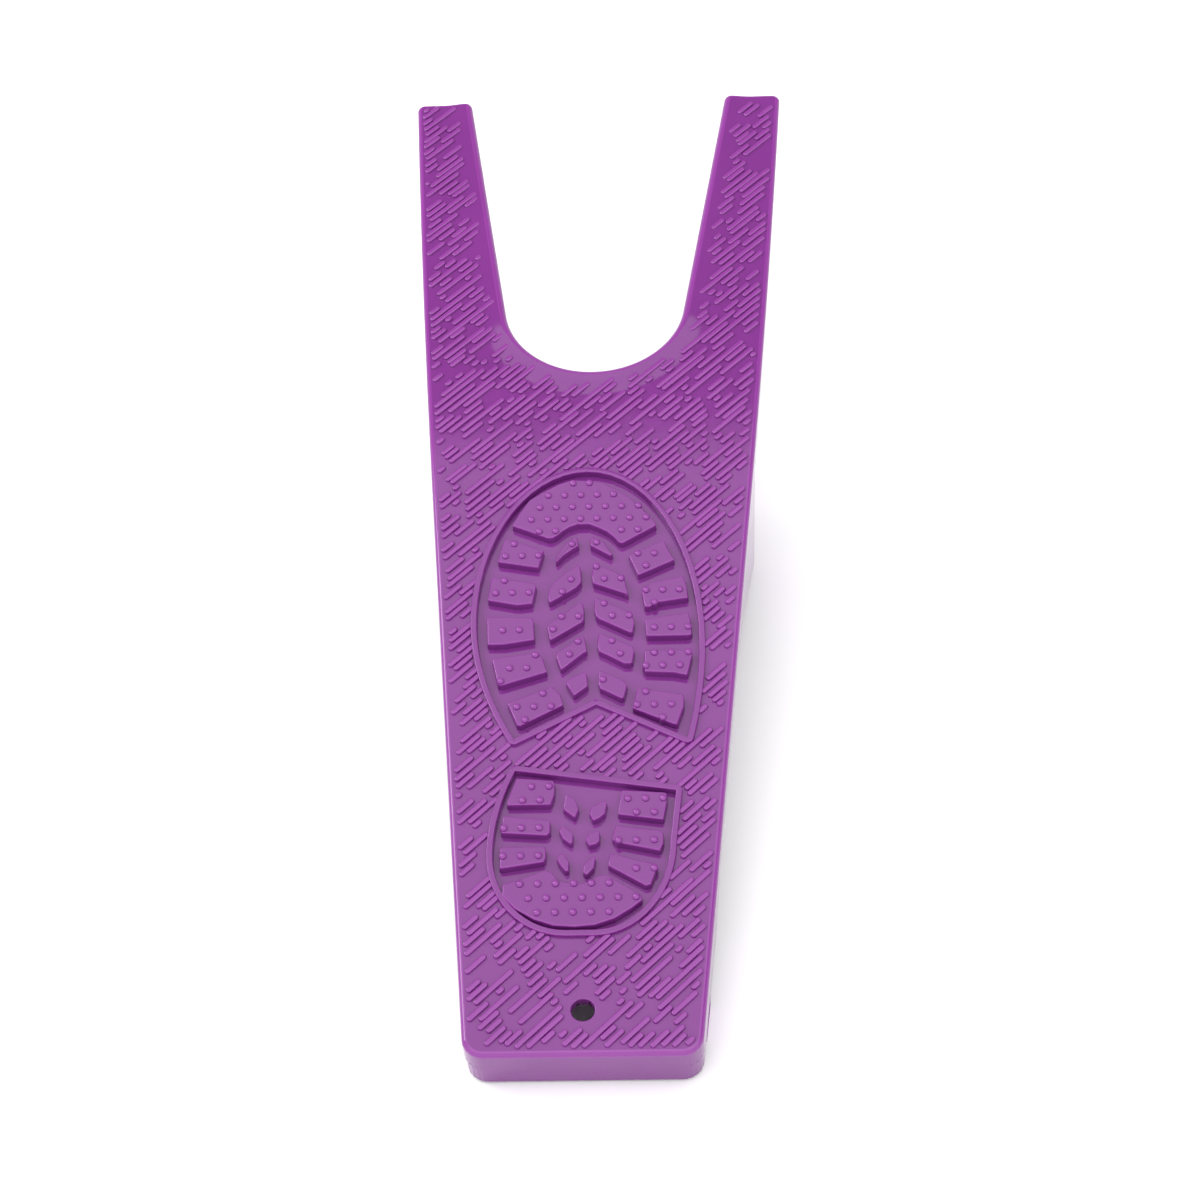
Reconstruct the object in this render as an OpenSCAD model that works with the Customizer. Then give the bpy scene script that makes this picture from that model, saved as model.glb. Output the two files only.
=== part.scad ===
// Boot jack: a tilted tread board with a forked mouth, on a moulded base and a leg.
// Board coordinates: X across, Y along the board from the waist line to the fork, Z out of its top face.

/* [Board] */
// Length from the waist line to the fork tips
fork_len = 166; // [150:1:190]
// Length from the waist line to the tail edge
tail_len = 191; // [186:1:230]
// Width of the board at the waist line
waist_w = 98.8; // [92:0.2:120]
// Gain in half-width for each millimetre towards the fork
side_taper = 0.0895; // [0.06:0.0005:0.11]
// How far the sides bend back in at the fork tips
tip_draw_in = 2.1; // [0:0.1:5]
// Tilt of the board above the floor, degrees
tilt = 10.5; // [8:0.5:13]
// Thickness of the top plate
plate_t = 3.2; // [2.6:0.1:4]
// Depth of the upper moulding
skirt_h = 8; // [7:0.5:12]
// Thickness of the edge walls
wall = 2.8; // [2:0.1:3.4]
// Corner radius at the tail
tail_corner_r = 6; // [3:0.5:12]
// Corner radius at the fork tips
tip_corner_r = 2.5; // [1:0.5:4]

/* [Mouth] */
// Radius of the mouth's round bottom
mouth_r = 28.9; // [24:0.1:32]
// Distance from the waist line to the centre of that round
mouth_y = 74.6; // [66:0.1:90]
// Angle by which each side of the mouth opens, degrees
mouth_flare = 8.8; // [5:0.1:10]
// Width of the raised lip round the mouth
lip_w = 10; // [7:0.5:12]
// Height of the lip above the plate
lip_h = 1; // [0.4:0.1:2]
// Rounding of the mouth's upper edge
lip_r = 2.2; // [1:0.1:3]

/* [Hanging hole] */
// Radius of the hanging hole
hole_r = 3.25; // [2.5:0.05:5]
// Distance from the tail edge to the hole's centre
hole_from_tail = 13.4; // [10:0.1:18]

/* [Prints] */
// Depth of the floor of each print below the plate
print_depth = 1.2; // [0.6:0.1:1.6]
// Height of the rims above the plate
rim_h = 1.3; // [0.6:0.1:2]
// Width of the rims
rim_w = 1.8; // [1:0.1:2.4]
// Height of the lugs above the plate
lug_h = 1.4; // [0.6:0.1:2]
// Radius of a stud where it meets its lug
stud_r = 1.1; // [0.7:0.05:1.3]
// Height of a stud above its lug
stud_h = 0.9; // [0.4:0.05:1]
// Distance between studs in a row
stud_pitch = 5; // [4.5:0.1:6]
// Distance between rows of studs
stud_row = 4.5; // [4:0.1:5]
// Distance from the tail edge to the back of the heel print
heel_from_tail = 36; // [33:0.5:42]

/* [Base] */
// Distance from the waist line to the front of the base frame
base_front = 17; // [14:0.5:24]
// Depth of the base frame's lower edge below the plate
base_h = 12; // [11.5:0.5:15]
// How far the base frame sits inside the upper moulding's face
seam_step = 0.3; // [0:0.05:0.6]
// Thickness of the ribs
rib_t = 2; // [1.4:0.1:3]
// Distance of the two long ribs from the middle
rib_x = 16; // [12:0.5:17]
// Bays between cross ribs under the board
rib_bays = 6; // [6:1:8]
// Length of the deeper part at the tail
tail_foot_len = 69; // [60:1:80]
// Distance from the tail edge to the deepest point there
tail_foot_peak = 45; // [35:1:52]
// Greatest depth of the tail part below the plate
tail_foot_h = 20.5; // [18:0.5:22]
// Depth of the tail edge below the plate
tail_h = 16.5; // [15:0.5:18]

/* [Leg] */
// Depth of the toe of the leg's rear edge, where it meets the ledge
leg_ledge_h = 18; // [16.5:0.5:20]
// Distance from the waist line back to that point
leg_ledge_y = 37; // [32:1:44]
// Length of the ledge behind it
ledge_len = 23; // [18:1:28]
// Thickness of the leg's walls
leg_wall = 3; // [2:0.1:4]
// Length of the leg's foot blocks
foot_len = 7; // [6:0.5:9]
// Width of the leg's foot blocks
foot_w = 22; // [18:1:26]
// Height of the leg's foot blocks
foot_h = 12; // [10:1:16]

/* [Pads] */
// Height of the mouldings' lower edges above the floor
floor_gap = 1; // [0.6:0.1:2]
// Width of each leg pad
leg_pad_w = 18; // [14:0.5:20]
// Length of each leg pad
leg_pad_len = 4.6; // [4:0.1:6]
// Depth of the pockets that hold the leg pads
pad_pocket = 1.5; // [1:0.1:2.5]
// Width of each tail pad
tail_pad_w = 14; // [10:0.5:15]
// Length of each tail pad
tail_pad_len = 12; // [10:0.5:16]
// Distance from the tail edge to the middle of a tail pad
tail_pad_from_tail = 19; // [15:0.5:22]
// Depth of the seat of the tail pads below the plate
tail_seat_h = 16; // [14:0.5:17]
// Radius of the peg that holds a pad
peg_r = 1.6; // [1.2:0.1:1.8]
// Length of that peg
peg_len = 4; // [3:0.5:5]

/* [Screws] */
// Radius of a screw's shank
screw_r = 1.45; // [1.2:0.05:1.6]
// Radius of a screw's head
head_r = 2.8; // [2.4:0.1:3.2]
// Height of a screw's head
head_h = 1.8; // [1.4:0.1:2.4]
// Radius of the posts and bosses
boss_r = 4; // [3.6:0.1:4.5]
// Distance of the frame screws from the board's edge
screw_inset = 13; // [11.5:0.5:16]
// Depth below the plate of the seat under a frame screw's head
frame_seat_h = 9.6; // [9.2:0.1:10]

/* [Hidden] */
$fn = 48;
purple = [0.62, 0.36, 0.66];
dark_rubber = [0.33, 0.16, 0.36];
steel = [0.72, 0.73, 0.75];
// Running clearance between pieces that fit together
fit = 0.1;
// Clearance of holes round screw shanks
screw_fit = 0.05;
// Overlap that makes two shapes of one piece join
join = 0.4;
// Reach of cutting shapes past a face
past = 1;
// How far the mouth's wall and lip stay inside the ends and the lower edge of the fork
lip_set_back = 0.05;
// Larger than the board in every direction
big = 400;
// Wall thickness of the ring that locates the base frame in the upper moulding
spigot_t = 1.8;
// Height of that ring above the seam
spigot_h = 3;
// Steps along each curved side and along each corner
side_steps = 12;
corner_steps = 6;
// Points for each stretch of a rim
rim_steps = 8;
// Smallest distance from a stud's centre to the edge of its lug
stud_margin = 0.3;
// Ribs across the fork arms, as distances from the waist line
arm_rib_from = base_front + 33;
arm_rib_pitch = 31;

// The floor in board coordinates
depth_at_waist = tail_h + floor_gap + tail_len * tan(tilt);
origin_z = depth_at_waist * cos(tilt);
origin_y = ((tail_len - fork_len) * cos(tilt) - skirt_h * sin(tilt)) / 2;
hole_y = hole_from_tail - tail_len;
heel_y = heel_from_tail - tail_len;

// Where the two rows of leg screws stand, between the cross ribs
bay = (base_front + tail_len) / rib_bays;
frame_screw_rows = [for (k = [1, 3, 5]) base_front - k * bay];
leg_screw_rows = [base_front - bay * 0.5, base_front - bay * 1.5];

// Half the board's width at a distance y from the waist line
function half_w(y) = waist_w / 2 + side_taper * y - (y > 0 ? tip_draw_in * pow(y / fork_len, 2) : 0);

// A list of points in reverse order, and one mirrored to the other side as well
function reversed(p) = [for (i = [len(p) - 1 : -1 : 0]) p[i]];
function mirrored(p) = [for (q = reversed(p)) [-q[0], q[1]]];
function unit(v) = v / norm(v);
function left_of(v) = [-v[1], v[0]];

// A closed outline moved inwards by d; its points run anticlockwise
function inset(p, d) = [for (i = [0 : len(p) - 1])
    let (n = len(p),
         before = left_of(unit(p[i] - p[(i + n - 1) % n])),
         after = left_of(unit(p[(i + 1) % n] - p[i])))
    p[i] + (before + after) * d / (1 + before * after)];

// Points of an arc that rounds the corner b between a and c
function corner(a, b, c, r) =
    let (u = unit(a - b),
         v = unit(c - b),
         half = acos(u * v) / 2,
         centre = b + unit(u + v) * r / sin(half),
         from = b + u * r / tan(half) - centre,
         to = b + v * r / tan(half) - centre)
    [for (k = [0 : corner_steps]) centre + unit(from * (corner_steps - k) + to * k) * r];

// A closed outline with the corners rounded whose radius in the list is above zero
function rounded(p, radii) = [for (i = [0 : len(p) - 1])
    for (q = radii[i] > 0
        ? corner(p[(i + len(p) - 1) % len(p)], p[i], p[(i + 1) % len(p)], radii[i])
        : [p[i]]) q];

// The board's outline without its mouth, and its corner radii
side_points = concat([[half_w(-tail_len), -tail_len]],
    [for (k = [0 : side_steps]) [half_w(fork_len * k / side_steps), fork_len * k / side_steps]]);
side_radii = concat([tail_corner_r], [for (k = [0 : side_steps - 1]) 0], [tip_corner_r]);
board_points = concat(side_points, mirrored(side_points));
board_radii = concat(side_radii, reversed(side_radii));

// Outline of the base, from its front edge to the tail, before it is moved inwards
base_steps = 3;
base_right = concat([[half_w(-tail_len), -tail_len]],
    [for (k = [0 : base_steps]) [half_w(base_front * k / base_steps), base_front * k / base_steps]]);
base_points = concat(base_right, mirrored(base_right));
base_radii = concat([tail_corner_r + seam_step], [for (k = [0 : 2 * base_steps + 1]) 0],
    [tail_corner_r + seam_step]);

// A quarter of an ellipse from a, where it runs upright, towards b, where it runs level, without b
function quarter(a, b) = [for (k = [0 : rim_steps - 1])
    [b[0] + (a[0] - b[0]) * cos(90 * k / rim_steps), a[1] + (b[1] - a[1]) * sin(90 * k / rim_steps)]];

// A shallow bend from a corner a towards the widest place b, where it runs upright, without b
function flank(a, b) = [for (k = [0 : rim_steps - 1])
    let (t = k / rim_steps, c = [b[0], (a[1] + b[1]) / 2])
    a * (1 - t) * (1 - t) + c * 2 * t * (1 - t) + b * t * t];

// Front print's rim, along its middle line: tip of the toe, widest places and lower corners
front_toe = [-1.5, 5.5];
front_left = [-34.5, -48];
front_right = [33.5, -59];
front_corner_left = [-21.5, -93];
front_corner_right = [29.5, -93.5];
// Tip of the V that closes the front print
front_notch = [2.5, -79.5];

// Heel print's rim, counted from the back of the print: ends of its flat back, widest places, corners
heel_back_left = [-5, 0.3];
heel_back_right = [3, 0.3];
heel_left = [-27, 26];
heel_right = [24.8, 29];
heel_corner_left = [-21, 53.5];
heel_corner_right = [26.5, 46];

// Lugs of the front print: toe cap, left column, right column, middle left, middle right
front_lugs = [
    [[-24, -15.5], [-22, -11], [-19, -6], [-15, -3], [-10, 0], [-6, 1.5], [0, 1], [3.5, 0], [8.5, -3],
     [12.5, -6.5], [16, -10.5], [19.5, -15], [20, -16.5], [10.5, -22.5], [9.5, -23], [8.5, -22.5],
     [7, -20.5], [5, -18.5], [2.5, -17], [-0.5, -15.5], [-4, -15.5], [-6.5, -16.5], [-8.5, -18],
     [-10, -19.5], [-11.5, -20.5], [-13, -20.5]],
    [[-26, -20.5], [-21.5, -22], [-14, -25], [-15.5, -31.5], [-28, -29], [-27, -24]],
    [[-29.5, -34.5], [-17, -37], [-16, -38], [-17, -44.5], [-21.5, -45], [-30.5, -43]],
    [[-30.5, -49], [-17, -49.5], [-16.5, -51], [-16, -57.5], [-25, -59], [-30, -59]],
    [[-28.5, -64], [-15, -62], [-13.5, -64], [-12, -69], [-25.5, -73.5], [-26.5, -73]],
    [[-23.5, -79.5], [-10.5, -74], [-8, -77], [-7, -80.5], [-19.5, -87.5], [-20.5, -87]],
    [[11.5, -27.5], [17.5, -24.5], [22, -22], [22.5, -22.5], [23.5, -25.5], [25.5, -29.5], [14.5, -35]],
    [[15.5, -40.5], [18, -38], [25.5, -36], [28, -35.5], [29, -39], [29.5, -43.5], [20, -45],
     [18, -46.5], [16.5, -46.5]],
    [[16.5, -51], [21.5, -50], [29.5, -49], [30, -51], [30.5, -56.5], [29.5, -57], [17, -57]],
    [[16.5, -62], [30, -62], [30.5, -64], [29.5, -69], [29, -71], [25, -70], [16.5, -69.5]],
    [[14.5, -75], [27.5, -77.5], [28, -78.5], [28, -81.5], [26, -88], [24.5, -87.5], [13, -82]],
    [[-5, -20.5], [-4, -20.5], [-3.5, -23.5], [-5, -24.5], [-8, -27], [-10, -29.5], [-10.5, -29],
     [-10, -27], [-8.5, -24.5], [-7, -22]],
    [[-4, -31], [-3, -31], [-2.5, -35], [-2.5, -37], [-4, -39], [-12, -44.5], [-12.5, -42], [-12, -39],
     [-10.5, -36.5], [-7.5, -33.5]],
    [[-3, -44.5], [-2, -44.5], [-1.5, -47.5], [-1.5, -50.5], [-2, -51.5], [-11.5, -58], [-12.5, -53],
     [-12, -52]],
    [[-1.5, -56], [-0.5, -61], [-0.5, -62], [-1.5, -62.5], [-8, -68.5], [-9.5, -64], [-9.5, -62.5],
     [-8, -61], [-5, -59]],
    [[0, -20], [0.5, -20], [4, -22], [5.5, -25], [7, -27], [7, -27.5], [6, -27.5], [3, -25.5],
     [0, -23.5]],
    [[1, -31.5], [4, -31.5], [8.5, -34], [10.5, -36.5], [11.5, -41], [11.5, -42.5], [10.5, -41.5],
     [1, -37.5], [0.5, -35]],
    [[1.5, -43], [2.5, -43], [11.5, -48], [13, -50], [13.5, -52], [13, -55.5], [12, -55.5], [3, -50.5],
     [2, -49.5], [1.5, -47.5]],
    [[3, -55.5], [3.5, -55.5], [8.5, -58], [13, -60.5], [13.5, -62], [13, -66], [12.5, -66.5],
     [10.5, -66.5], [6.5, -64], [3, -62], [2.5, -60]],
    [[3, -69], [4, -69], [10.5, -72.5], [11.5, -74], [10.5, -78.5], [9.5, -78.5], [7, -77], [3.5, -75],
     [3, -73.5]]];
// A small lug of the front print that carries no stud
front_plain = [[[-0.5, -69], [0, -74], [0, -74.5], [-4, -77.5], [-6.5, -73], [-6, -72], [-3, -70]]];

// Lugs of the heel print, counted from the back of the print: cap, left column, right column
heel_lugs = [
    [[-23, 15.5], [-18.5, 17], [-13.5, 19], [-11, 20], [-9, 19], [-7.5, 16.5], [-5, 16], [-0.5, 15.5],
     [2, 16.5], [4, 18], [6.5, 18], [11.5, 14.5], [16, 11.5], [16, 10], [13, 7.5], [8.5, 4.5], [3, 2.5],
     [-2.5, 2], [-8.5, 2.5], [-14, 4.5], [-19.5, 8], [-23, 12]],
    [[-20, 50], [-9.5, 49], [-9, 48], [-9, 44.5], [-10, 41], [-22.5, 41], [-22.5, 42.5], [-21, 47]],
    [[-23.5, 37.5], [-22.5, 37.5], [-10.5, 36], [-10, 35.5], [-10, 32], [-11, 31], [-24, 32]],
    [[-24, 27.5], [-11.5, 27.5], [-11, 26.5], [-11, 24], [-11.5, 22.5], [-24, 20.5]],
    [[10, 45.5], [22.5, 44.5], [23, 44], [23, 41.5], [22, 35.5], [9, 37.5]],
    [[8.5, 34], [11.5, 33.5], [21.5, 32], [22, 31], [22, 28], [21, 25.5], [8.5, 28.5], [7.5, 29.5]],
    [[7, 24.5], [8, 25], [15, 22.5], [19.5, 21.5], [20, 19.5], [18.5, 15], [17, 14.5], [6.5, 21],
     [6.5, 22]]];
// Small leaves in the middle of the heel print, which carry no studs
heel_plain = [
    [[-6, 44], [-5.5, 44.5], [-3, 42.5], [-2, 39.5], [-3, 36.5], [-3.5, 36.5], [-6.5, 39.5]],
    [[5, 42], [6, 41.5], [5.5, 38], [4, 36.5], [2, 35.5], [1, 38], [1.5, 40]],
    [[-7, 34], [-5.5, 33.5], [-3.5, 31.5], [-3.5, 29], [-4, 28], [-6.5, 30], [-7.5, 32.5]],
    [[3.5, 32.5], [4, 32], [4, 29], [3, 28], [1, 27.5], [0, 29.5], [1, 31.5]],
    [[-7, 25], [-6, 25], [-4.5, 22.5], [-4.5, 19.5], [-5.5, 19.5], [-7, 21.5], [-8, 23.5]],
    [[2.5, 24.5], [3, 23.5], [2.5, 20.5], [0.5, 18], [-0.5, 19], [-0.5, 21], [1, 23]]];

// Closed middle lines of the two rims, anticlockwise
front_line = concat([front_notch], flank(front_corner_right, front_right), quarter(front_right, front_toe),
    [front_toe], reversed(quarter(front_left, front_toe)), reversed(flank(front_corner_left, front_left)));
heel_line = concat([heel_back_right], reversed(quarter(heel_right, heel_back_right)),
    [heel_corner_right], flank(heel_corner_left, heel_left), quarter(heel_left, heel_back_left),
    [heel_back_left]);

// First stud of each print's pattern
front_stud_from = [4.4, 0];
heel_stud_from = [4.4, 2];
// Places of the pattern on a lug's edge that carry no stud
front_bare = [[-28, -58.5], [-28, -49.5], [-13, -67.5], [22, -22.5], [7, -76.5]];
heel_bare = [[-20.5, 47], [17, 15.5], [9.5, 20], [9.5, 38], [-20.5, 11]];
// Studs beside the pattern, or on a place of it that lies on a lug's edge
front_added = [[-5.5, -23], [2, -31.5], [14.5, -9]];
heel_added = [[-3, 15.5]];

// Distance of a point q from the stretch between a and b, and from a closed outline
function stretch_gap(q, a, b) = let (d = b - a) norm(q - a - d * max(0, min(1, (q - a) * d / (d * d))));
function edge_gap(q, p) = min([for (i = [0 : len(p) - 1]) stretch_gap(q, p[i], p[(i + 1) % len(p)])]);

// True where the point q lies inside a closed outline
function inside(q, p) = len([for (i = [0 : len(p) - 1])
    let (a = p[i], b = p[(i + 1) % len(p)])
    if ((a[1] > q[1]) != (b[1] > q[1])
        && q[0] < a[0] + (q[1] - a[1]) * (b[0] - a[0]) / (b[1] - a[1])) 1]) % 2 == 1;
function carries(q, lugs, bare) = len([for (p = lugs) if (inside(q, p) && edge_gap(q, p) >= stud_margin) 1]) > 0
    && len([for (b = bare) if (norm(q - b) < stud_r) 1]) == 0;

// Turns and lifts a shape from board coordinates to the object's own
module on_board() {
    translate([0, origin_y, origin_z])
        rotate([tilt, 0, 0])
            children();
}

// Everything that lies lower than a height above the floor
module below(height) {
    translate([-big / 2, -big / 2, height - big])
        cube(big);
}

// A block with the board's outline moved inwards, between two heights
module board_block(d, low, high) {
    translate([0, 0, low])
        linear_extrude(high - low)
            polygon(rounded(inset(board_points, d), [for (r = board_radii) max(0, r - d)]));
}

// A block with the base's outline moved inwards, between two heights
module base_block(d, low, high) {
    translate([0, 0, low])
        linear_extrude(high - low)
            polygon(rounded(inset(base_points, d), [for (r = base_radii) max(0, r - d)]));
}

// A block across the whole board whose side view is an outline in Y and Z
module side_block(p) {
    translate([-big / 2, 0, 0])
        rotate([90, 0, 90])
            linear_extrude(big)
                polygon(p);
}

// The mouth, grown by d, cut right through
module mouth_cut(d, low, high) {
    reach = fork_len + past - mouth_y + (mouth_r + d) * sin(mouth_flare);
    translate([0, mouth_y, low]) {
        cylinder(r = mouth_r + d, h = high - low, $fn = 96);
        linear_extrude(high - low)
            polygon([for (side = [1, -1]) for (far = side > 0 ? [0, 1] : [1, 0])
                [side * ((mouth_r + d) * cos(mouth_flare) + far * reach * tan(mouth_flare)),
                 -(mouth_r + d) * sin(mouth_flare) + far * reach]]);
    }
}

// Section of the mouth's wall and raised lip, from the mouth's edge outwards
lip_low = -plate_t + join / 2;
lip_bottom = -skirt_h + lip_set_back;
lip_section = concat([[0, lip_bottom]],
    [for (a = [180 : -15 : 90]) [lip_r + lip_r * cos(a), lip_h - lip_r + lip_r * sin(a)]],
    [[lip_w, 0], [lip_w, lip_low], [wall, lip_low], [wall, lip_bottom]]);

// The wall and lip round the mouth
module lip() {
    reach = (fork_len + past - mouth_y + (mouth_r + lip_w) * sin(mouth_flare)) / cos(mouth_flare);
    intersection() {
        translate([0, mouth_y, 0]) {
            rotate([0, 0, 180 + mouth_flare])
                rotate_extrude(angle = 180 - 2 * mouth_flare, $fn = 96)
                    translate([mouth_r, 0])
                        polygon(lip_section);
            for (side = [0, 1])
                mirror([side, 0, 0])
                    rotate([0, 0, -mouth_flare])
                        translate([mouth_r, reach, 0])
                            rotate([90, 0, 0])
                                linear_extrude(reach)
                                    polygon(lip_section);
        }
        board_block(lip_set_back, -skirt_h - past, lip_h + past);
    }
}

// The raised rim of a print, along a closed middle line
module rim(line) {
    translate([0, 0, -print_depth - join])
        linear_extrude(print_depth + join + rim_h)
            difference() {
                polygon(inset(line, -rim_w / 2));
                polygon(inset(line, rim_w / 2));
            }
}

// One stud with a bevelled top. It stands on the floor of its print, so it bulges a lug's wall near an edge
module stud() {
    translate([0, 0, -print_depth - join])
        cylinder(r = stud_r, h = print_depth + join + lug_h + stud_h / 2, $fn = 16);
    translate([0, 0, lug_h + stud_h / 2])
        cylinder(r1 = stud_r, r2 = stud_r * 0.55, h = stud_h / 2, $fn = 16);
}

// One print: its studs and lugs, raised from the floor of its recess
module print_relief(lugs, plain, first, rows, columns, bare, added) {
    for (p = concat(lugs, plain))
        translate([0, 0, -print_depth - join])
            linear_extrude(print_depth + join + lug_h)
                polygon(p);
    for (j = rows)
        for (i = columns) {
            q = first + [stud_pitch * (i - (j % 2 == 0 ? 0 : 0.5)), j * stud_row];
            if (carries(q, lugs, bare))
                translate([q[0], q[1], 0])
                    stud();
        }
    for (q = added)
        translate([q[0], q[1], 0])
            stud();
}

// Places of the frame screws and of the leg screws
module at_frame_screws() {
    for (y = frame_screw_rows)
        for (side = [-1, 1])
            translate([side * (half_w(y) - screw_inset), y, 0])
                children();
}
module at_leg_screws() {
    for (y = leg_screw_rows)
        for (side = [-1, 1])
            translate([side * rib_x, y, 0])
                children();
}

// Upper moulding: plate, edge, mouth lip, prints, arm ribs and screw posts
module tread_board() {
    post_top = -plate_t + join;
    color(purple)
        on_board()
            difference() {
                union() {
                    difference() {
                        board_block(0, -skirt_h, 0);
                        board_block(wall, -skirt_h - past, -plate_t);
                        mouth_cut(wall / 2, -skirt_h - past, past);
                        translate([0, 0, -print_depth])
                            linear_extrude(print_depth + past)
                                polygon(front_line);
                        translate([0, heel_y, -print_depth])
                            linear_extrude(print_depth + past)
                                polygon(heel_line);
                    }
                    lip();
                    rim(front_line);
                    translate([0, heel_y, 0])
                        rim(heel_line);
                    print_relief(front_lugs, front_plain, front_stud_from, [-20 : 0], [-7 : 6], front_bare,
                        front_added);
                    translate([0, heel_y, 0])
                        print_relief(heel_lugs, heel_plain, heel_stud_from, [0 : 11], [-6 : 5], heel_bare,
                            heel_added);
                    difference() {
                        intersection() {
                            for (y = [arm_rib_from : arm_rib_pitch : fork_len - arm_rib_pitch / 2])
                                translate([-big / 2, y, -skirt_h + past])
                                    cube([big, rib_t, skirt_h - plate_t - past + join]);
                            board_block(wall / 2, -skirt_h, 0);
                        }
                        mouth_cut(wall / 2, -skirt_h, 0);
                    }
                    for (side = [-1, 1])
                        translate([side * rib_x - rib_t / 2, base_front + fit, -skirt_h + past])
                            cube([rib_t, mouth_y - mouth_r - base_front, skirt_h - plate_t - past + join]);
                    at_frame_screws()
                        translate([0, 0, -skirt_h])
                            cylinder(r = boss_r, h = skirt_h + post_top);
                }
                at_frame_screws()
                    translate([0, 0, -skirt_h - past])
                        cylinder(r = screw_r + screw_fit, h = skirt_h - plate_t + past - join);
                translate([0, hole_y, -plate_t - past])
                    cylinder(r = hole_r, h = plate_t + 2 * past);
            }
}

// Side view of the base frame, in board coordinates
base_side = [[base_front + past, -skirt_h], [-tail_len - past, -skirt_h], [-tail_len - past, -tail_h],
    [-tail_len, -tail_h], [-tail_len + tail_foot_peak / 2, -tail_foot_h + 2],
    [-tail_len + tail_foot_peak, -tail_foot_h], [-tail_len + tail_foot_len, -base_h],
    [base_front + past, -base_h]];

// Space that a tail pad takes up, with a clearance, from its seat downwards
module tail_pad_space(gap) {
    y = tail_pad_from_tail - tail_len;
    outer = half_w(y - tail_pad_len / 2) - seam_step;
    translate([outer - tail_pad_w - gap, y - tail_pad_len / 2 - gap, -big / 2])
        cube([big, tail_pad_len + 2 * gap, big / 2 - tail_seat_h]);
}
module at_tail_peg() {
    y = tail_pad_from_tail - tail_len;
    translate([half_w(y) - tail_pad_w / 2 - wall, y, -tail_seat_h])
        children();
}

// Lower moulding: wall below the seam, locating ring, rib grid, screw bosses and pad seats
module base_frame() {
    rib_low = -base_h + past;
    rib_high = -plate_t;
    y_seat = tail_pad_from_tail - tail_len;
    color(purple)
        on_board()
            difference() {
                union() {
                    intersection() {
                        difference() {
                            base_block(seam_step, -big / 4, -skirt_h);
                            base_block(seam_step + wall, -big / 4 - past, -skirt_h + past);
                        }
                        side_block(base_side);
                    }
                    difference() {
                        base_block(wall + fit, rib_low, -skirt_h + spigot_h);
                        base_block(wall + fit + spigot_t, rib_low - past, 0);
                    }
                    intersection() {
                        union() {
                            for (k = [1 : rib_bays - 1])
                                translate([-big / 2, base_front - k * bay - rib_t / 2, rib_low])
                                    cube([big, rib_t, rib_high - rib_low]);
                            for (side = [-1, 1])
                                translate([side * rib_x - rib_t / 2, -tail_len, rib_low])
                                    cube([rib_t, tail_len + base_front, rib_high - rib_low]);
                        }
                        base_block(wall + fit, rib_low, rib_high);
                    }
                    at_frame_screws()
                        translate([0, 0, -frame_seat_h])
                            cylinder(r = boss_r, h = frame_seat_h - skirt_h);
                    at_leg_screws()
                        translate([0, 0, -base_h])
                            cylinder(r = boss_r, h = base_h - plate_t);
                    for (side = [0, 1])
                        mirror([side, 0, 0])
                            intersection() {
                                translate([0, 0, join])
                                    tail_pad_space(2 * fit + rib_t);
                                base_block(seam_step + wall / 2, -tail_seat_h, -base_h + 2 * past);
                            }
                }
                at_frame_screws() {
                    translate([0, 0, -skirt_h])
                        cylinder(r = boss_r + fit, h = skirt_h);
                    translate([0, 0, -base_h - past])
                        cylinder(r = screw_r + screw_fit, h = base_h + past);
                    translate([0, 0, -base_h - past])
                        cylinder(r = head_r + fit, h = base_h + past - frame_seat_h);
                }
                at_leg_screws()
                    translate([0, 0, -base_h - past])
                        cylinder(r = screw_r + screw_fit, h = base_h + past - plate_t - rib_t);
                for (side = [0, 1])
                    mirror([side, 0, 0]) {
                        tail_pad_space(fit);
                        at_tail_peg()
                            translate([0, 0, -past])
                                cylinder(r = peg_r + fit / 2, h = peg_len + fit + past);
                    }
            }
}

// A point of the board's middle plane in the object's own side view
function on_side(y, z) = [y * cos(tilt) - z * sin(tilt) + origin_y, y * sin(tilt) + z * cos(tilt) + origin_z];

// The leg's front face stands upright below the base's front edge
leg_front = on_side(base_front - wall / 2 - seam_step, -base_h)[0];
leg_side = [on_side(base_front - wall / 2 - seam_step, -base_h), [leg_front, floor_gap],
    on_side(-leg_ledge_y, -leg_ledge_h), on_side(-leg_ledge_y - ledge_len / 3, -leg_ledge_h + 1),
    on_side(-leg_ledge_y - ledge_len, -base_h)];
foot_x = half_w(0) - seam_step - leg_wall;

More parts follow.
